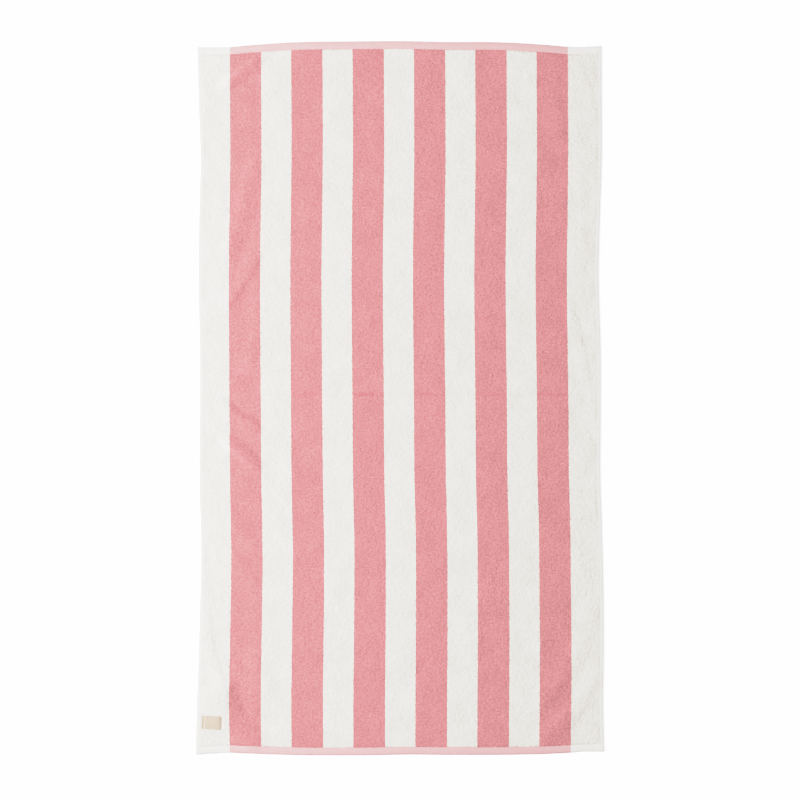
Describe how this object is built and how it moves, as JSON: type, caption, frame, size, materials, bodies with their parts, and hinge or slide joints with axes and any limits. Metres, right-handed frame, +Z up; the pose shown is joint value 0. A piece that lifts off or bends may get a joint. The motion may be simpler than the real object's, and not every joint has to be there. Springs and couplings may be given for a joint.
{
  "type": "beach towel",
  "caption": "Terry beach towel with lengthwise stripes, turned hems and a small sewn-on label, laid out flat and face up.",
  "frame": {"origin": "middle of the towel's box in plan, on the surface that it lies on", "axes": "+Z up out of the face side, +Y along the towel's length, away from the end with the label, +X across it, away from the side with the label"},
  "size_m": [0.9146, 1.6018, 0.0088],
  "materials": {
    "terry": "matt cotton terry loops in lengthwise stripes of pink and undyed white, with flat-woven end hems, pale pink between the outer stripes",
    "label": "beige ribbon weave, matt and plain, stitched down at both ends"
  },
  "bodies": {
    "root": {"terry_cloth": "terry", "woven_label": "label"}
  },
  "joints": []
}
